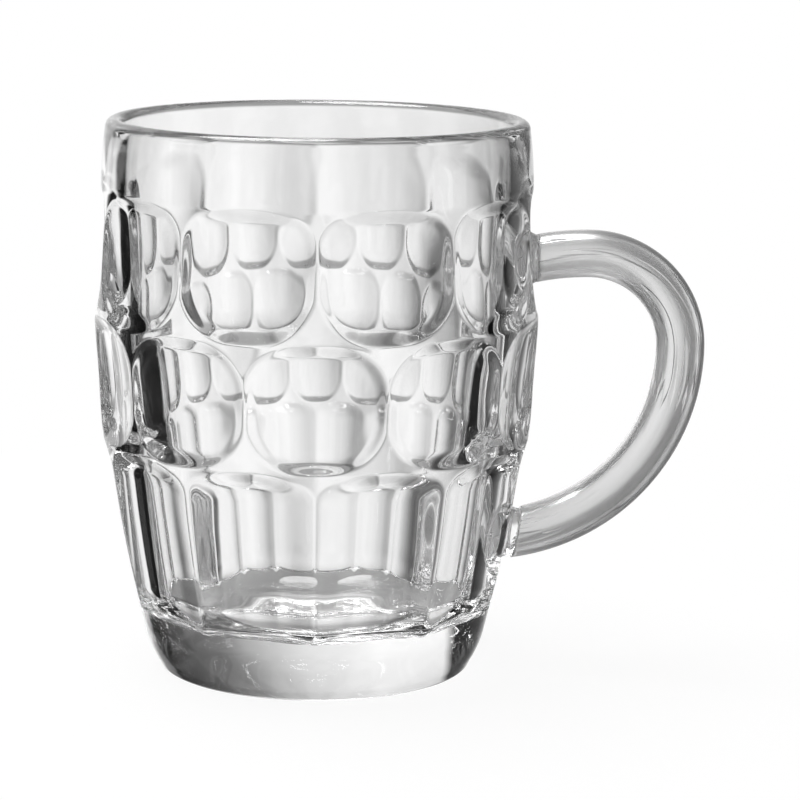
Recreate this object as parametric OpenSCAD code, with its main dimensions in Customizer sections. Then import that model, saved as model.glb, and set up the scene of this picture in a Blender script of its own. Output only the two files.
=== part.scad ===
// Dimpled glass beer mug: a pressed glass body with ten columns of dimples and flutes,
// and a drawn glass handle whose two ends are pressed hot onto flat lands on its side.
// The origin is the middle of the foot on the table, +Z is up and the handle points along +X.

/* [Body] */
// Height from the table to the top of the lip
mug_height = 123; // [118:0.5:135]
// Outer diameter of the rounded lip
rim_diameter = 93.4; // [90:0.2:94.6]
// Outer diameter of the plain band where it meets the dimples
shoulder_diameter = 95.2; // [94:0.2:97]
// Height at which the dimples end and the plain band starts
shoulder_height = 107.6; // [104:0.2:112]
// Widest diameter, over the ridges between the dimples
belly_diameter = 98.4; // [97.4:0.2:102]
// Height of the widest diameter
belly_height = 84; // [78:0.5:90]
// Diameter over the ends of the flute ridges, at the plain base
ridge_foot_diameter = 81.6; // [80:0.2:84]

/* [Base and foot] */
// Height of the plain base under the flutes
base_height = 15; // [12:0.5:18]
// Diameter of the plain base at its top
base_diameter = 79.6; // [77:0.2:80]
// Height of the base's rounded heel
heel_height = 7.5; // [6:0.5:9]
// Draw of the base's side from upright, in degrees
base_slope = 11.5; // [8:0.5:14]
// Draw of the heel at its bottom from upright, in degrees
heel_slope = 27; // [22:1:35]
// Radius of the edge between heel and foot
foot_edge_radius = 1.8; // [1:0.1:3]
// Diameter of the shallow hollow under the foot
hollow_diameter = 57; // [50:1:62]
// Depth of the hollow under the foot
hollow_depth = 1.6; // [0.8:0.1:2.5]
// Height of the flat bearing ring that the mug stands on
bearing_height = 0.3; // [0.2:0.1:0.6]

/* [Inside] */
// Thickness of the rounded lip
lip_thickness = 4; // [3:0.1:4.6]
// Inner diameter low in the bowl, above the floor's corner
bowl_low_diameter = 72.4; // [68:0.2:74]
// Thickness of the glass under the bowl
floor_thickness = 12.5; // [9:0.5:15]
// Radius between the bowl's wall and its floor
floor_corner_radius = 9; // [5:0.5:12]

/* [Dimples and flutes] */
// Number of dimples in a row
columns = 10; // [8:2:12]
// Height of one row of dimples
row_height = 27.6; // [25:0.2:28.4]
// Height of the flat ridge left between two rows
row_gap = 0.8; // [0.4:0.1:1.6]
// Depth of a dimple at its middle
dimple_depth = 3.8; // [3:0.1:4]
// Radius of a dimple's face around the mug
dimple_round_radius = 115; // [80:1:160]
// Radius of a dimple's face up and down
dimple_face_radius = 50; // [40:1:80]
// Radius that turns a dimple's face out to its upper and lower edge
dimple_edge_radius = 7; // [5:0.5:8]
// Depth of a flute at its lower end
flute_foot_depth = 3.7; // [3:0.1:3.8]
// Depth of a flute at its upper end
flute_head_depth = 4.3; // [3.8:0.1:4.5]
// Radius of a flute's face around the mug
flute_round_radius = 57; // [50:1:80]
// Radius that turns a flute's face out to its arched head
flute_edge_radius = 6; // [4:0.5:7]

/* [Handle] */
// Thickness of the drawn glass rod
rod_diameter = 10.8; // [9:0.2:12]
// Reach of the handle's outermost point from the mug's axis
handle_reach = 86.5; // [84:0.5:95]
// Height of the handle's outermost point
handle_bend_height = 72.5; // [70:0.5:75]
// Height of the rod's middle at the handle's highest point
handle_top_height = 93.3; // [92:0.1:95]
// Radius of the handle's upper arm towards the body
arm_radius = 60; // [50:1:90]
// Radius of the handle's long lower bend
lower_bend_radius = 43.1; // [42:0.1:44]
// How far the two flat lands for the handle stand out of their cells
land_rise = 1.2; // [0.8:0.1:2]
// Height of the middle of the lower joint
lower_joint_height = 30; // [28:0.5:32]
// Lean of the lower joint from upright, in degrees
lower_joint_lean = 10.5; // [5:0.5:15]
// Extra radius of the rod's flared ends against the body
end_flare = 2; // [1:0.1:2.6]
// Length of the flare along the rod
end_flare_length = 3.4; // [2:0.1:4]
// Width of the sloping edge round each flat land
land_edge = 2.4; // [1.6:0.1:3]

/* [Hidden] */

GLASS = [0.86, 0.9, 0.9];
// Steps round the mug for one cell, and in one rounded stretch of an outline
cell_steps = 10;
arc_steps = 4;
$fn = 96;

rim_r = rim_diameter / 2;
shoulder_r = shoulder_diameter / 2;
belly_r = belly_diameter / 2;
ridge_foot_r = ridge_foot_diameter / 2;
base_r = base_diameter / 2;
bowl_low_r = bowl_low_diameter / 2;
rod_r = rod_diameter / 2;
lip_r = lip_thickness / 2;
lip_z = mug_height - lip_r;
mouth_r = rim_r - lip_thickness;

// How far an arc that starts upright has drawn in after a given rise; a negative
// radius is an arc that spreads instead
function drawn_in(rise, radius) = radius - sign(radius) * sqrt(radius * radius - rise * rise);
// Radius of the arc that draws in by drop over rise
function arc_for(drop, rise) = (drop * drop + rise * rise) / (2 * drop);

low_arc = arc_for(belly_r - ridge_foot_r, belly_height - base_height);
high_arc = arc_for(belly_r - shoulder_r, shoulder_height - belly_height);
neck_arc = arc_for(shoulder_r - rim_r, lip_z - shoulder_height);
bowl_low_z = floor_thickness + floor_corner_radius;
bowl_arc = arc_for(mouth_r - bowl_low_r, lip_z - bowl_low_z);

// Radius over the ridges, between the base and the shoulder
function ridge_r(z) = belly_r - drawn_in(abs(z - belly_height), z < belly_height ? low_arc : high_arc);
// Lean of the ridges from upright at a height
function ridge_lean(z) = asin((belly_height - z) / (z < belly_height ? low_arc : high_arc));
function neck_r(z) = shoulder_r - drawn_in(z - shoulder_height, neck_arc);
function bowl_r(z) = mouth_r - drawn_in(lip_z - z, bowl_arc);
// Evenly spaced values from a to b, b left out
function spread(a, b, n) = [for (i = [0:n - 1]) a + (b - a) * i / n];
// Points of an arc about a centre, from one angle towards another
function arc(centre, radius, a, b, n) =
    [for (t = spread(a, b, n)) centre + radius * [cos(t), sin(t)]];

// The heel is an arc from the base's slope to the heel's own, and then the foot's small edge
edge_top_z = bearing_height + foot_edge_radius * (1 - sin(heel_slope));
heel_r = base_r - (base_height - heel_height) * tan(base_slope);
heel_arc = (heel_height - edge_top_z) / (sin(heel_slope) - sin(base_slope));
edge_r = heel_r - heel_arc * (cos(base_slope) - cos(heel_slope));
foot_r = edge_r - foot_edge_radius * cos(heel_slope);

// Dimple depth at a height above its middle: a wide arc that hands over to a small
// one, and none beyond its edge; the handover is found so that the dimple fills its row
pitch = 360 / columns;
half_row = (row_height - row_gap) / 2;
function small_arc(turn) =
    (dimple_face_radius - dimple_edge_radius) * sin(turn)
    + sqrt(pow(dimple_edge_radius, 2)
        - pow(dimple_face_radius - dimple_depth
            - (dimple_face_radius - dimple_edge_radius) * cos(turn), 2));
function edge_turn(low, high, left) =
    left == 0 ? low
    : small_arc((low + high) / 2) > half_row
        ? edge_turn(low, (low + high) / 2, left - 1)
        : edge_turn((low + high) / 2, high, left - 1);
handover = edge_turn(0, 18, 24);
handover_v = dimple_face_radius * sin(handover);
edge_x = dimple_face_radius - (dimple_face_radius - dimple_edge_radius) * cos(handover);
edge_v = (dimple_face_radius - dimple_edge_radius) * sin(handover);
function dimple_at(v) =
    v < handover_v ? dimple_depth - drawn_in(v, dimple_face_radius)
    : v < half_row ? dimple_depth - edge_x + sqrt(pow(dimple_edge_radius, 2) - pow(v - edge_v, 2))
    : 0;

// Flute depth at a height: it grows from foot to head, and the head is a quarter arch
flute_top = shoulder_height - 2 * row_height - row_gap / 2;
arch_v = sqrt(pow(flute_edge_radius, 2) - pow(flute_edge_radius - flute_head_depth, 2));
flute_head = flute_top - arch_v;
function flute_at(z) =
    z < flute_head
        ? flute_foot_depth
            + (flute_head_depth - flute_foot_depth) * (z - base_height) / (flute_head - base_height)
    : z < flute_top
        ? flute_head_depth - drawn_in(z - flute_head, flute_edge_radius)
    : 0;

// Radius of a hollowed cell, from its depth in the middle, the angle from its middle
// and its roundness around the mug; a cell never stands out over the ridges
function cell_r(z, depth, from_middle, roundness) =
    depth <= 0 ? ridge_r(z)
    : min(ridge_r(z),
        (ridge_r(z) - depth + pow(ridge_r(z) * sin(from_middle), 2) / (2 * roundness)) / cos(from_middle));
// Angle from the middle of the nearest cell
function from_cell(angle, turn) =
    (angle - turn) - pitch * round((angle - turn) / pitch);
function side_r(angle, z) =
    z > shoulder_height - row_height
        ? cell_r(z, dimple_at(abs(z - shoulder_height + row_height / 2)),
            from_cell(angle, 0), dimple_round_radius)
    : z > shoulder_height - 2 * row_height
        ? cell_r(z, dimple_at(abs(z - shoulder_height + row_height * 3 / 2)),
            from_cell(angle, pitch / 2), dimple_round_radius)
    : cell_r(z, flute_at(z), from_cell(angle, 0), flute_round_radius);

// The handle's middle line lies in the X-Z plane and is made of three arcs that run into each other
bend_r = handle_top_height - handle_bend_height;
bend_x = handle_reach - rod_r - bend_r;
lower_bend_x = handle_reach - rod_r - lower_bend_radius;
arm_z = handle_top_height - arm_radius;
upper_joint_reach = ridge_r(shoulder_height - row_height / 2) - dimple_depth + land_rise;
lower_joint_reach = ridge_r(lower_joint_height) - flute_at(lower_joint_height) + land_rise;
upper_joint_z = arm_z + sqrt(pow(arm_radius, 2) - pow(bend_x - upper_joint_reach, 2));

// A land is a flat round spot, square to the joint, with an edge that slopes into the cell
land_r = rod_r + end_flare + land_edge / 2;
function land_share(off) = min(1, max(0, (land_r + land_edge - off) / land_edge));
// Radius of the land's plane in a direction, for a joint at a distance, height and lean
function plane_r(angle, z, reach, joint_z, lean) =
    (reach + (z - joint_z) * tan(lean)) / cos(angle);
function with_land(base, angle, z, reach, joint_z, lean) =
    abs(angle) > 45 ? base
    : base + (plane_r(angle, z, reach, joint_z, lean) - base)
        * land_share(norm([base * sin(angle), z - joint_z]));
function outer_r(angle, z) =
    with_land(
        with_land(side_r(angle, z), angle, z, upper_joint_reach, upper_joint_z, 0),
        angle, z, lower_joint_reach, lower_joint_height, lower_joint_lean);

// Heights of the rings through one row of dimples, closer together at its edges
ring_shares = [0.25, 0.48, 0.68, 0.83, 0.93, 0.985];
half_shares = concat([for (i = [len(ring_shares) - 1:-1:0]) -ring_shares[i]], [0], ring_shares);
function dimple_rings(middle) =
    concat([for (q = half_shares) middle + half_row * q], [middle + row_height / 2]);
flute_rings = concat(
    spread(base_height, flute_head, arc_steps + 1),
    [for (q = [0, 0.3, 0.55, 0.75, 0.9, 1]) flute_head + arch_v * q]);
side_rings = concat(flute_rings, [shoulder_height - 2 * row_height],
    dimple_rings(shoulder_height - row_height * 3 / 2),
    dimple_rings(shoulder_height - row_height / 2));

// Rings of the body from the middle of its foot, up its side and down into the bowl;
// each ring has a radius, a height, and tells whether it lies on the patterned side
hollow_r = hollow_diameter / 2;
foot_rings = concat(
    [[hollow_r / 2, (bearing_height + 3 * hollow_depth) / 4, 0], [hollow_r, bearing_height, 0]],
    [for (q = concat(
        arc([foot_r, bearing_height + foot_edge_radius], foot_edge_radius, -90, -heel_slope, arc_steps - 1),
        arc([edge_r - heel_arc * cos(heel_slope), edge_top_z + heel_arc * sin(heel_slope)],
            heel_arc, -heel_slope, -base_slope, arc_steps - 2),
        [[heel_r, heel_height], [base_r, base_height - row_gap / 2]])) [q[0], q[1], 0]]);
lip_rings = [for (q = concat(
    [for (z = spread(shoulder_height, lip_z, arc_steps - 1)) if (z > shoulder_height) [neck_r(z), z]],
    arc([rim_r - lip_r, lip_z], lip_r, 0, 180, arc_steps + 1))) [q[0], q[1], 0]];
bowl_rings = [for (q = concat(
    [for (z = spread(lip_z, bowl_low_z, arc_steps - 1)) [bowl_r(z), z]],
    arc([bowl_low_r - floor_corner_radius, bowl_low_z], floor_corner_radius, 0, -90, arc_steps - 1),
    [[bowl_low_r - floor_corner_radius, floor_thickness]])) [q[0], q[1], 0]];
rings = concat(foot_rings, [for (z = side_rings) [0, z, 1]], lip_rings, bowl_rings);

// The bearing ring runs up into the glass above it
module bearing_ring() {
    inner_r = hollow_r + bearing_height;
    rotate_extrude()
        translate([inner_r, 0])
            square([foot_r - bearing_height - inner_r, 3 * bearing_height]);
}

module glass_form() {
    around = cell_steps * columns;
    last = len(rings) * around;
    points = concat(
        [for (q = rings) for (i = [0:around - 1])
            let (angle = (i < around / 2 ? i : i - around) * pitch / cell_steps,
                r = q[2] == 1 ? outer_r(angle, q[1]) : q[0])
            [r * cos(angle), r * sin(angle), q[1]]],
        [[0, 0, hollow_depth], [0, 0, floor_thickness]]);
    faces = concat(
        [for (j = [0:len(rings) - 2]) for (i = [0:around - 1]) for (half = [0, 1])
            let (next = (i + 1) % around, a = j * around, b = a + around)
            half == 0 ? [a + i, b + i, b + next] : [a + i, b + next, a + next]],
        [for (i = [0:around - 1]) [last, i, (i + 1) % around]],
        [for (i = [0:around - 1]) let (a = last - around) [last + 1, a + (i + 1) % around, a + i]]);
    polyhedron(points, faces);
}

module body() {
    color(GLASS) {
        glass_form();
        bearing_ring();
    }
}

// A stretch of rod bent round from the +X side, upwards or downwards
module rod(centre_x, centre_z, radius, up, turn) {
    translate([centre_x, 0, centre_z])
        rotate([90 * up, 0, 0])
            rotate_extrude(angle = turn)
                translate([radius, 0]) circle(r = rod_r);
}

// Everything on the body's side of a joint
module body_side(x, z, lean) {
    side = 4 * rod_diameter;
    translate([x, 0, z])
        rotate([0, lean, 0])
            translate([-side, -side / 2, -side / 2]) cube(side);
}

// The rod's end spreads where it was pressed onto the land
module flared_end(x, z, lean) {
    flare = arc_for(end_flare, end_flare_length);
    translate([x, 0, z])
        rotate([0, lean + 90, 0])
            rotate_extrude()
                polygon(concat(
                    [[0, 0], [rod_r + end_flare, 0]],
                    [for (i = [1:arc_steps - 1])
                        [rod_r + drawn_in(end_flare_length * (1 - i / arc_steps), flare),
                            end_flare_length * i / arc_steps]],
                    [[rod_r * 0.98, end_flare_length], [0, end_flare_length]]));
}

module handle() {
    // The arm and the lower bend start long, and the joints cut them to length
    arm_turn = asin((bend_x - upper_joint_reach + rod_diameter) / arm_radius);
    color(GLASS) difference() {
        union() {
            translate([bend_x, 0, arm_z])
                rotate([90, 0, 0])
                    rotate([0, 0, 90])
                        rotate_extrude(angle = arm_turn)
                            translate([arm_radius, 0]) circle(r = rod_r);
            rod(bend_x, handle_bend_height, bend_r, 1, 90);
            rod(lower_bend_x, handle_bend_height, lower_bend_radius, -1, 90);
            flared_end(upper_joint_reach, upper_joint_z, 0);
            flared_end(lower_joint_reach, lower_joint_height, lower_joint_lean);
        }
        body_side(upper_joint_reach, upper_joint_z, 0);
        body_side(lower_joint_reach, lower_joint_height, lower_joint_lean);
    }
}

body();
handle();
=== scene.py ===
import math
import bpy
import numpy as np
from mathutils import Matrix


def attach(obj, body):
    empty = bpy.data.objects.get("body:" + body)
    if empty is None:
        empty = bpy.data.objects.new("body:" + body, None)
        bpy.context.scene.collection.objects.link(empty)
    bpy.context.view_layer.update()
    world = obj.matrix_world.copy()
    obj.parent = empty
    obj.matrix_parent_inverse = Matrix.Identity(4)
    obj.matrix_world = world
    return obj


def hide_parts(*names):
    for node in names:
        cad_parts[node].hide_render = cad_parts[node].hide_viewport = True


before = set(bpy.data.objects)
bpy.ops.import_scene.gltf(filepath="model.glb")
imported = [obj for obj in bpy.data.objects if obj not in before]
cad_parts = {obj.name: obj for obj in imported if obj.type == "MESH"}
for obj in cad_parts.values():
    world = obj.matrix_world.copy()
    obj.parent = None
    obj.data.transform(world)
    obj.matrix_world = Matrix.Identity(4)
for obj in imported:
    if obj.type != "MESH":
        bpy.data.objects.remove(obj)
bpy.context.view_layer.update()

# The body is one gob of soda-lime glass, pressed in an iron mould and then fire-polished.
# The mould gives it two staggered rows of dimples over a row of arched flutes, and the
# plunger gives it the smooth bowl. The two pads for the handle belong to the same pressing.

# Sizes are in millimetres and degrees, from the lip down to the foot, and then the bowl
mm = 0.001
lip_r, lip_z, rim_r = 2.0, 120.9, 46.7
shoulder_r, shoulder_z = 47.6, 107.6
belly_r, belly_z = 49.19, 84.0
ridge_foot_r, base_z = 40.8, 15.0
base_r, heel_z, base_slope, heel_slope = 39.7, 9.0, 12.5, 34.0
foot_edge_r, bearing_z, hollow_r, hollow_z = 1.8, 0.3, 28.8, 0.8
bowl_low_r, floor_z, floor_corner_r = 36.2, 12.5, 9.0

# Dimples and flutes. A width is a share of the half pitch, and the corners of a dimple are
# given for each row as its upper and its lower ones. The last line is the rounding between
# rows, between neighbours in a row, and along the top of the base.
columns, row_h, row_gap = 10, 27.6, 0.8
dimple_depth, dimple_round_r, dimple_face_r = 3.1, 150.0, 50.0
dimple_width, dimple_corners_r = 1.02, ((6.5, 11.5), (10.5, 11.0))
dimple_edge_r, dimple_edge_reach = 4.0, 2.95
flute_depth, flute_round_r = 3.2, 57.0
flute_width, flute_corner_r = 1.37, 9.0
flute_edge_r, flute_edge_reach = 8.0, 6.4
ridge_softness, upright_softness, corner_fillet = 1.6, 1.4, 0.5

# A joint is the middle of a pad, as its distance from the axis and its height, with the
# lean of its face
upper_joint, upper_lean = (48.7, 92.17), 0.0
lower_joint, lower_lean = (45.1, 29.99), 10.5
pad_r, pad_flare, pad_half_angle = 5.35, 3.6, 30.0


def sin_d(degrees):
    return math.sin(math.radians(degrees))


def cos_d(degrees):
    return math.cos(math.radians(degrees))


def tan_d(degrees):
    return math.tan(math.radians(degrees))


def drawn_in(rise, radius):
    return radius - np.sqrt(np.maximum(radius * radius - rise * rise, 0))


def arc_for(drop, rise):
    return (drop * drop + rise * rise) / (2 * drop)


def ridge_r(z):
    # The barrel over the ridges, and the plain band under the lip
    low = arc_for(belly_r - ridge_foot_r, belly_z - base_z)
    high = arc_for(belly_r - shoulder_r, shoulder_z - belly_z)
    neck = arc_for(shoulder_r - rim_r, lip_z - shoulder_z)
    band = shoulder_r - drawn_in(np.clip(z - shoulder_z, 0, None), neck)
    barrel = belly_r - drawn_in(np.abs(z - belly_z), np.where(z < belly_z, low, high))
    return np.where(z > shoulder_z, band, barrel)


def depth_in_cell(across, up, middle, outline, corner, reach, radius):
    # The border of a cell rises as an arc, and steeply once the arc is nearly upright. It
    # follows an outline with round corners.
    arc_end, steep = radius * 0.98, 8
    a, b = np.abs(across) - outline[0] + corner, up - outline[1] + corner
    inset = corner - np.hypot(np.maximum(a, 0), np.maximum(b, 0)) - np.minimum(np.maximum(a, b), 0)
    climb = np.clip(reach - inset, 0, arc_end)
    return middle - drawn_in(climb, radius) - steep * np.clip(reach - inset - arc_end, 0, None)


def dimple_depth_at(across, z, r, row):
    above = z - shoulder_z + row_h * (row + 0.5)
    up, corner = np.abs(above), np.where(above > 0, *dimple_corners_r[row])
    middle = dimple_depth - across ** 2 / (2 * dimple_round_r) - up ** 2 / (2 * dimple_face_r)
    outline = dimple_width * r * math.sin(math.pi / columns), (row_h - row_gap) / 2
    return depth_in_cell(across, up, middle, outline, corner, dimple_edge_reach, dimple_edge_r)


def flute_depth_at(across, z, r, row):
    middle = flute_depth - across ** 2 / (2 * flute_round_r)
    outline = flute_width * r * math.sin(math.pi / columns), shoulder_z - row * row_h - row_gap / 2
    return depth_in_cell(across, z, middle, outline, flute_corner_r, flute_edge_reach, flute_edge_r)


def soft_min(a, b, soft):
    share = np.clip(0.5 + 0.5 * (b - a) / soft, 0, 1)
    return b + (a - b) * share - soft * share * (1 - share)


def cells_r(angle, z, depth_at, row, turn):
    # The nearest cell and the one beyond it, with the ridge between them rounded
    pitch = 2 * math.pi / columns
    r = ridge_r(z)
    off = angle - turn
    off = off - pitch * np.round(off / pitch)
    beyond = np.where(off < 0, off + pitch, off - pitch)
    both = [(r - depth_at(r * np.sin(o), z, r, row)) / np.cos(o) for o in (off, beyond)]
    return soft_min(both[0], both[1], upright_softness)


def with_pad(r, angle, z, joint, lean):
    # A flat round pad that flows into the side round it, on the handle's side only
    plane = (joint[0] + (z - joint[1]) * tan_d(lean)) / np.cos(angle)
    off = np.hypot(plane * np.sin(angle), (z - joint[1]) / cos_d(lean))
    s = np.clip((off - pad_r) / pad_flare, 0, 1)
    pad = plane - (plane - r) * np.sqrt(1 - (1 - s) ** 2)
    return np.where((np.abs(angle) < math.radians(pad_half_angle)) & (pad > r), pad, r)


def side_r(angle, z):
    # Two rows of dimples, the second one turned by half a pitch, and the row of flutes
    r = ridge_r(z)
    half_pitch = math.pi / columns
    rows = (dimple_depth_at, 0, 0), (dimple_depth_at, 1, half_pitch), (flute_depth_at, 2, 0)
    for depth_at, row, turn in rows:
        r = soft_min(r, cells_r(angle, z, depth_at, row, turn), ridge_softness)
    rise = np.clip(corner_fillet - (z - base_z), 0, corner_fillet)
    r = np.maximum(r, np.minimum(r + drawn_in(rise, corner_fillet), base_r))
    r = with_pad(r, angle, z, upper_joint, upper_lean)
    return with_pad(r, angle, z, lower_joint, lower_lean)


# The body is a stack of rings, with more points round the handle's side than elsewhere
coarse, fine, near, hair = math.radians(0.5), math.radians(0.25), math.radians(12), 1e-9
angles = np.concatenate([np.arange(-near, near - hair, fine),
                         np.arange(near, 2 * math.pi - near - hair, coarse)])
wrapped = np.where(angles > math.pi, angles - 2 * math.pi, angles)


def ring_at(r, z):
    return np.stack([r * np.cos(angles), r * np.sin(angles), z + 0 * angles], 1)


def arc_points(cx, cz, radius, start, end, n):
    t = np.radians(np.linspace(start, end, n))
    return list(zip(cx + radius * np.cos(t), cz + radius * np.sin(t)))


# The foot has a shallow hollow, a bearing ring and a rounded edge. The heel's arc and the
# base's sloping side follow.
edge_top = bearing_z + foot_edge_r * (1 - sin_d(heel_slope))
heel_r = base_r - (base_z - heel_z) * tan_d(base_slope)
heel_arc = (heel_z - edge_top) / (sin_d(heel_slope) - sin_d(base_slope))
edge_r = heel_r - heel_arc * (cos_d(base_slope) - cos_d(heel_slope))
foot_r = edge_r - foot_edge_r * cos_d(heel_slope)
hollow_arc = arc_for(hollow_z, hollow_r)
inner_ring_r, hollow_lip, hollow_edge_z, bearing_inset = 1.5, 0.6, 0.02, 0.2
lower = [(r, hollow_z - drawn_in(r, hollow_arc))
         for r in np.linspace(inner_ring_r, hollow_r - hollow_lip, 16)]
lower += [(hollow_r, hollow_edge_z), (hollow_r + bearing_inset, 0.0), (foot_r - bearing_inset, 0.0)]
lower += arc_points(foot_r, foot_edge_r, foot_edge_r, -90, -heel_slope, 9)[1:]
lower += arc_points(edge_r - heel_arc * cos_d(heel_slope), edge_top + heel_arc * sin_d(heel_slope),
                    heel_arc, -heel_slope, -base_slope, 10)[1:]
slope_shares = np.linspace(0.08, 0.48, 6)
lower += [(heel_r + (base_r - heel_r) * s, heel_z + (base_z - heel_z) * s) for s in slope_shares]
rings = [ring_at(r, z) for r, z in lower]

# The top edge of the base is rounded, and comes further down where a ridge runs out on it
edge_drop, ridge_drop, ridge_inset, ridge_rise = 0.5, 2.2, 0.6, 1.7
at_foot = side_r(wrapped, base_z)
on_ridge = np.clip((at_foot - base_r + ridge_inset) / ridge_rise, 0, 1)
drop = edge_drop + ridge_drop * on_ridge ** 2
wall_r = base_r - drop * tan_d(base_slope)
for t in np.linspace(0, math.pi / 2, 14)[:-1]:
    r = wall_r + (at_foot - wall_r) * (1 - math.cos(t))
    rings.append(ring_at(r, base_z - drop * (1 - math.sin(t))))

# The side has a ring every 0.4 mm, and closer ones in the fillet on top of the base
ring_step, fillet_z = 0.4, base_z + np.array([0.0, 0.06, 0.15, 0.28, 0.5, 0.75])
for z in np.concatenate([fillet_z, np.arange(base_z + 1, lip_z + 0.01, ring_step)]):
    rings.append(ring_at(side_r(wrapped, z), z))

# The lip is a half round, and the bowl's wall is one long arc down to the floor's corner
lip = arc_points(rim_r - lip_r, lip_z, lip_r, 0, 180, 17)[1:]
mouth_r = rim_r - 2 * lip_r
bowl_low_z = floor_z + floor_corner_r
bowl_arc = arc_for(mouth_r - bowl_low_r, lip_z - bowl_low_z)
bowl = [(mouth_r - drawn_in(lip_z - z, bowl_arc), z) for z in np.linspace(lip_z, bowl_low_z, 50)[1:]]
bowl += arc_points(bowl_low_r - floor_corner_r, bowl_low_z, floor_corner_r, 0, -90, 20)[1:]
bowl += [(r, floor_z) for r in np.linspace(bowl_low_r - floor_corner_r, inner_ring_r, 14)[1:]]
rings += [ring_at(r, z) for r, z in lip + bowl]


def mesh_object(name, verts, faces):
    mesh = bpy.data.meshes.new(name)
    mesh.from_pydata([tuple(v) for v in verts], [], faces)
    mesh.validate()
    mesh.shade_smooth()
    obj = bpy.data.objects.new(name, mesh)
    bpy.context.collection.objects.link(obj)
    return obj


def tube_faces(n_rings, around):
    # Quads between neighbouring rings, and a fan to a middle point at each end
    j, i = np.meshgrid(np.arange(n_rings - 1), np.arange(around), indexing="ij")
    nxt = (i + 1) % around
    corners = [j * around + i, j * around + nxt, (j + 1) * around + nxt, (j + 1) * around + i]
    faces = np.stack(corners, -1).reshape(-1, 4).tolist()
    first, last = n_rings * around, n_rings * around + 1
    faces += [[first, (k + 1) % around, k] for k in range(around)]
    top = (n_rings - 1) * around
    faces += [[last, top + k, top + (k + 1) % around] for k in range(around)]
    return faces


verts = np.concatenate(rings + [[[0, 0, hollow_z]], [[0, 0, floor_z]]])
body = mesh_object("pressed_body", verts * mm, tube_faces(len(rings), len(angles)))


def linear(hex_colour):
    srgb = [int(hex_colour[k:k + 2], 16) / 255 for k in (0, 2, 4)]
    return [c / 12.92 if c <= 0.04045 else ((c + 0.055) / 1.055) ** 2.4 for c in srgb] + [1.0]


def add(tree, kind, settings=None, links=None):
    # One node with its settings, and its inputs linked from other nodes' outputs
    node = tree.nodes.new(kind)
    for key, value in (settings or {}).items():
        if isinstance(key, str) and hasattr(node, key):
            setattr(node, key, value)
        else:
            node.inputs[key].default_value = value
    for key, (source, output) in (links or {}).items():
        tree.links.new(source.outputs[output], node.inputs[key])
    return node


# Pressed soda-lime glass: water-clear, with a trace of iron that greys the thick parts. The
# fire polish leaves a skin that is glossy all over, but wavy over a centimetre or two.
wave_length = 16.0
glass = bpy.data.materials.new("pressed_soda_lime_glass")
glass.use_nodes = True
tree = glass.node_tree
tree.nodes.clear()
place = add(tree, "ShaderNodeTexCoord")
waves = add(tree, "ShaderNodeTexNoise", {
    "Scale": 1 / (wave_length * mm), "Detail": 1.0, "Roughness": 0.4,
}, {"Vector": (place, "Object")})
skin = add(tree, "ShaderNodeBump", {"Strength": 0.25, "Distance": 0.5 * mm}, {"Height": (waves, "Fac")})
surface = add(tree, "ShaderNodeBsdfPrincipled", {
    "Base Color": linear("FCFCFC"), "Roughness": 0.0, "IOR": 1.52, "Transmission Weight": 1.0,
}, {"Normal": (skin, "Normal")})
add(tree, "ShaderNodeOutputMaterial", None, {"Surface": (surface, "BSDF")})
body.data.materials.append(glass)
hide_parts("body")
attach(body, "root")

# The handle is a rod drawn from a small gather of the same glass. It is bent while soft, and
# its two cut ends are pressed hot onto the body's pads, so that it grows a little thicker
# downwards and keeps fine draw lines along its length. Sizes are in millimetres.
reach, bend_z, top_z, arm_r, lower_r = 86.5, 72.5, 93.3, 60.0, 43.1
rod_r_top, rod_r_low, mid_rod_r, rod_sides = 5.25, 5.6, 5.4, 72
lean_length, sunk = 6.0, 0.02
cap_shares = 0.3, 0.7, 0.97

# Its line is a long flat arc, a bend and a wide lower arc, as x, z and the line's direction
bend_r = top_z - bend_z
bend_x, low_x = reach - mid_rod_r - bend_r, reach - mid_rod_r - lower_r
arm_turn = math.asin((bend_x - upper_joint[0]) / arm_r)
low_turn = math.asin((bend_z - lower_joint[1]) / lower_r)
quarter = math.pi / 2
arm = bend_x, top_z - arm_r, arm_r, np.linspace(quarter + arm_turn, quarter, 14)[:-1]
bend = bend_x, bend_z, bend_r, np.linspace(quarter, 0, 48)[:-1]
lower_arm = low_x, bend_z, lower_r, np.linspace(0, -low_turn, 80)
line = []
for cx, cz, radius, turns in (arm, bend, lower_arm):
    line += [(cx + radius * math.cos(t), cz + radius * math.sin(t), t - quarter) for t in turns]
line = np.array(line)
length = np.concatenate([[0], np.cumsum(np.hypot(*np.diff(line[:, :2], axis=0).T))])
around = np.linspace(0, 2 * math.pi, rod_sides, endpoint=False)


def rod_ring(k, scale=1.0):
    x, z, t = line[k]
    r = scale * (rod_r_top + (rod_r_low - rod_r_top) * length[k] / length[-1])
    normal = np.array([-math.sin(t), 0, math.cos(t)])
    across = np.outer(np.cos(around), normal) + np.outer(np.sin(around), [0, 1, 0])
    middle = np.array([x, 0, z])
    ring = middle + r * across
    # Near a joint the rings lean over until the last one lies in the joint's plane
    forward = np.array([math.cos(t), 0, math.sin(t)])
    for lean, away in ((upper_lean, length[k]), (lower_lean, length[-1] - length[k])):
        face = np.array([cos_d(lean), 0, -sin_d(lean)])
        share = max(0.0, 1 - away / lean_length)
        ring = ring - share * np.outer((ring - middle) @ face / (forward @ face), forward)
    return ring


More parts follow.
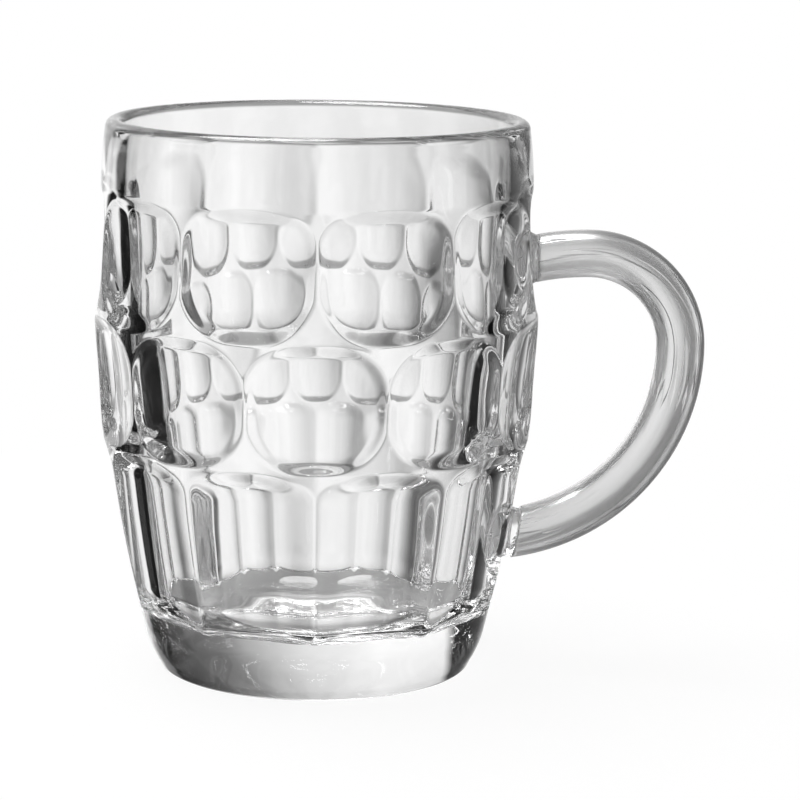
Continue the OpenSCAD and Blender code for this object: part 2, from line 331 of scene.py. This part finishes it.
# Each end is capped by smaller rings. The caps and the last two rings of the rod's side lie
# a hair inside the pad, so that no gap shows.
rings = [rod_ring(0, s) for s in cap_shares] + [rod_ring(k) for k in range(len(line))]
rings += [rod_ring(len(line) - 1, s) for s in reversed(cap_shares)]
middles = [np.array([[line[k][0], 0, line[k][1]]]) for k in (0, -1)]
sunk_rings = len(cap_shares) + 2
for part in (rings[:sunk_rings], rings[-sunk_rings:], middles):
    for ring in part:
        ring -= [sunk, 0, 0]
handle = mesh_object("drawn_handle", np.concatenate(rings + middles) * mm,
                     tube_faces(len(rings), rod_sides))

# Drawn soda-lime glass: clear, but milky from fine draw lines, which scatter the light and
# blur what is seen through the rod. The real lines are finer than these, which are as
# coarse as they need to be to show. Gaps and lengths are in millimetres.
line_gap, line_length = 0.6, 20.0
mark_gap, mark_length = 2.2, 30.0
drawn = bpy.data.materials.new("drawn_soda_lime_glass")
drawn.use_nodes = True
tree = drawn.node_tree
tree.nodes.clear()
place = add(tree, "ShaderNodeUVMap")
spread = add(tree, "ShaderNodeMapping", {"Scale": (1 / (line_gap * mm), 1 / (line_length * mm), 1)},
             {"Vector": (place, "UV")})
grain = add(tree, "ShaderNodeTexNoise", {"Scale": 1.0, "Detail": 2.0}, {"Vector": (spread, "Vector")})
grained = add(tree, "ShaderNodeBump", {"Strength": 0.35, "Distance": 0.06 * mm},
              {"Height": (grain, "Fac")})
# Here and there a deeper mark runs for a few centimetres
apart = add(tree, "ShaderNodeMapping", {"Scale": (1 / (mark_gap * mm), 1 / (mark_length * mm), 1)},
            {"Vector": (place, "UV")})
marks = add(tree, "ShaderNodeTexNoise", {"Scale": 1.0, "Detail": 1.0}, {"Vector": (apart, "Vector")})
cut = add(tree, "ShaderNodeMapRange", {"From Min": 0.56, "From Max": 0.62}, {"Value": (marks, "Fac")})
skin = add(tree, "ShaderNodeBump", {"Strength": 0.8, "Distance": 0.3 * mm},
           {"Height": (cut, "Result"), "Normal": (grained, "Normal")})
surface = add(tree, "ShaderNodeBsdfPrincipled", {
    "Base Color": linear("FAFAFA"), "Roughness": 0.27, "IOR": 1.52, "Transmission Weight": 0.81,
}, {"Normal": (skin, "Normal")})
add(tree, "ShaderNodeOutputMaterial", None, {"Surface": (surface, "BSDF")})
handle.data.materials.append(drawn)

# The grain follows the rod: u runs round it and v along it, both in metres
unwrap = handle.data.uv_layers.new(name="along_the_rod")
caps = len(cap_shares)
along = np.concatenate([np.repeat(length[0], caps), length, np.repeat(length[-1], caps)]) * mm
for poly in handle.data.polygons:
    idx = [handle.data.loops[k].vertex_index for k in poly.loop_indices]
    turn = [(i % rod_sides) / rod_sides for i in idx]
    wraps = max(turn) - min(turn) > 0.5
    for k, i, t in zip(poly.loop_indices, idx, turn):
        u = (t + (wraps and t < 0.5)) * 2 * math.pi * mid_rod_r * mm
        unwrap.data[k].uv = (u, along[min(i // rod_sides, len(along) - 1)])
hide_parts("handle")
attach(handle, "root")

# The table is a round of board with matt white paint. The camera sees it nearly as bright as
# the white behind it, but for the mug's shadow. What the glass mirrors or bends goes on
# through it to the panels below, so that the glass shows the white round it.
floor_mesh = bpy.data.meshes.new("table_top")
table_r, table_points = 0.25, 96
turns = np.linspace(0, 2 * math.pi, table_points, endpoint=False)
ring = [(table_r * math.cos(t), table_r * math.sin(t), 0.0) for t in turns]
floor_mesh.from_pydata(ring, [], [list(range(table_points))])
floor = bpy.data.objects.new("table_top", floor_mesh)
bpy.context.collection.objects.link(floor)
paint = bpy.data.materials.new("matt_white_table")
paint.use_nodes = True
tree = paint.node_tree
tree.nodes.clear()
matt = add(tree, "ShaderNodeBsdfDiffuse", {"Color": linear("F4F4F4")})
lit = add(tree, "ShaderNodeEmission", {"Color": (1, 1, 1, 1), "Strength": 1.0})
rays = add(tree, "ShaderNodeLightPath")
seen = add(tree, "ShaderNodeMath", {"operation": "MULTIPLY", 1: 0.93}, {0: (rays, "Is Camera Ray")})
top = add(tree, "ShaderNodeMixShader", None, {0: (seen, 0), 1: (matt, 0), 2: (lit, 0)})
clear = add(tree, "ShaderNodeMath", {"operation": "ADD"},
            {0: (rays, "Is Glossy Ray"), 1: (rays, "Is Transmission Ray")})
through = add(tree, "ShaderNodeBsdfTransparent")
mixed = add(tree, "ShaderNodeMixShader", None, {0: (clear, 0), 1: (top, 0), 2: (through, 0)})
add(tree, "ShaderNodeOutputMaterial", None, {"Surface": (mixed, 0)})
floor_mesh.materials.append(paint)

# The surround stands for upright cloth panels all round the table, lit and dark by turns. A
# bright one is behind the mug, and the dark ones beside it draw the dark lines along the
# edges of the clear glass. The camera itself sees plain white.
world = bpy.data.worlds.new("white_surround")
bpy.context.scene.world = world
world.use_nodes = True
tree = world.node_tree
tree.nodes.clear()
place = add(tree, "ShaderNodeTexCoord")
xyz = add(tree, "ShaderNodeSeparateXYZ", None, {0: (place, "Generated")})
turn = add(tree, "ShaderNodeMath", {"operation": "ARCTAN2"}, {0: (xyz, "X"), 1: (xyz, "Y")})
height = add(tree, "ShaderNodeMath", {"operation": "ARCSINE"}, {0: (xyz, "Z")})
# From 13 degrees below level upwards, the panels lean to the left
lean_share, lean_from = 0.35, -13
rise = add(tree, "ShaderNodeMath", {"operation": "MAXIMUM", 1: math.radians(lean_from)},
           {0: (height, 0)})
leaned = add(tree, "ShaderNodeMath", {"operation": "MULTIPLY_ADD", 1: lean_share},
             {0: (rise, 0), 2: (turn, 0)})


def level_ramp(tree, source, half_range, stops):
    # Light levels at places along a range of degrees to both sides of zero
    end = math.radians(half_range)
    share = add(tree, "ShaderNodeMapRange", {"From Min": -end, "From Max": end}, {"Value": (source, 0)})
    ramp = add(tree, "ShaderNodeValToRGB", None, {"Fac": (share, 0)})
    while len(ramp.color_ramp.elements) < len(stops):
        ramp.color_ramp.elements.new(0.5)
    for element, (degrees, level) in zip(ramp.color_ramp.elements, stops):
        element.position = (degrees + half_range) / (2 * half_range)
        element.color = (level, level, level, 1)
    return ramp


# Round the mug, 0 is straight behind it where the lean begins, and 90 is where the handle
# points
walls = level_ramp(tree, leaned, 180, [(degrees + lean_share * lean_from, level) for degrees, level in (
    (-171, 0.66), (-166, 0.06), (-152, 0.06), (-147, 0.85), (-129, 0.85), (-124, 0.2), (-107, 0.2),
    (-102, 0.85), (-84, 0.85), (-78, 0.01), (-42, 0.01), (-36, 0.02), (-31, 1.0), (-8, 1.0),
    (-3, 0.93), (8, 0.78), (13, 0.66), (18, 0.5), (23, 0.34), (28, 0.2), (33, 0.14), (58, 0.01),
    (78, 0.01), (84, 0.85), (102, 0.85), (107, 0.2), (124, 0.2), (129, 0.85), (147, 0.85),
    (152, 0.06), (166, 0.06), (171, 0.66))])
# Up and down, 0 is level with the mug
ceiling = level_ramp(tree, height, 90, (
    (-90, 0.9), (-62, 0.9), (-54, 0.32), (-45, 0.4), (-36, 0.38), (-30, 0.4), (-25, 0.45), (-20, 0.88),
    (-16, 1.0), (5, 1.0), (15, 0.92), (25, 0.72), (40, 0.6), (60, 0.4), (90, 0.3)))
levels = add(tree, "ShaderNodeVectorMath", {"operation": "MULTIPLY"},
             {0: (walls, "Color"), 1: (ceiling, "Color")})
rays = add(tree, "ShaderNodeLightPath")
around_us = add(tree, "ShaderNodeBackground", {"Strength": 1.06}, {"Color": (levels, 0)})
plain = add(tree, "ShaderNodeBackground", {"Color": (1, 1, 1, 1), "Strength": 1.0})
mixed = add(tree, "ShaderNodeMixShader", None,
            {0: (rays, "Is Camera Ray"), 1: (around_us, 0), 2: (plain, 0)})
add(tree, "ShaderNodeOutputWorld", None, {"Surface": (mixed, 0)})

# One round softbox hangs over the mug, to the left and a little behind
softbox = bpy.data.lights.new("softbox", "AREA")
softbox.shape = "DISK"
softbox.size = 0.7
softbox.energy = 13.0
lamp = bpy.data.objects.new("softbox", softbox)
lamp.location = (-0.25, 0.1, 1.1)
lamp.rotation_euler = (math.radians(-5), math.radians(-13), 0)
bpy.context.collection.objects.link(lamp)

# The camera stands where the photographer stood, fitted to the outline in the photograph
lens = bpy.data.cameras.new("photo_view")
lens.lens = 139.5
lens.sensor_width = 36.0
lens.clip_end = 20.0
camera = bpy.data.objects.new("photo_view", lens)
camera.location = (0, -0.6808, 0.1864)
camera.rotation_euler = (math.radians(79.4793), math.radians(-0.6528), math.radians(-1.4498))
bpy.context.collection.objects.link(camera)
bpy.context.scene.camera = camera

# Light crosses many walls of glass before it leaves the mug
bpy.context.scene.view_settings.view_transform = "Standard"
bpy.context.scene.cycles.max_bounces = 40
bpy.context.scene.cycles.transmission_bounces = 36
bpy.context.scene.cycles.glossy_bounces = 16
bpy.context.scene.cycles.caustics_reflective = True
bpy.context.scene.cycles.caustics_refractive = True
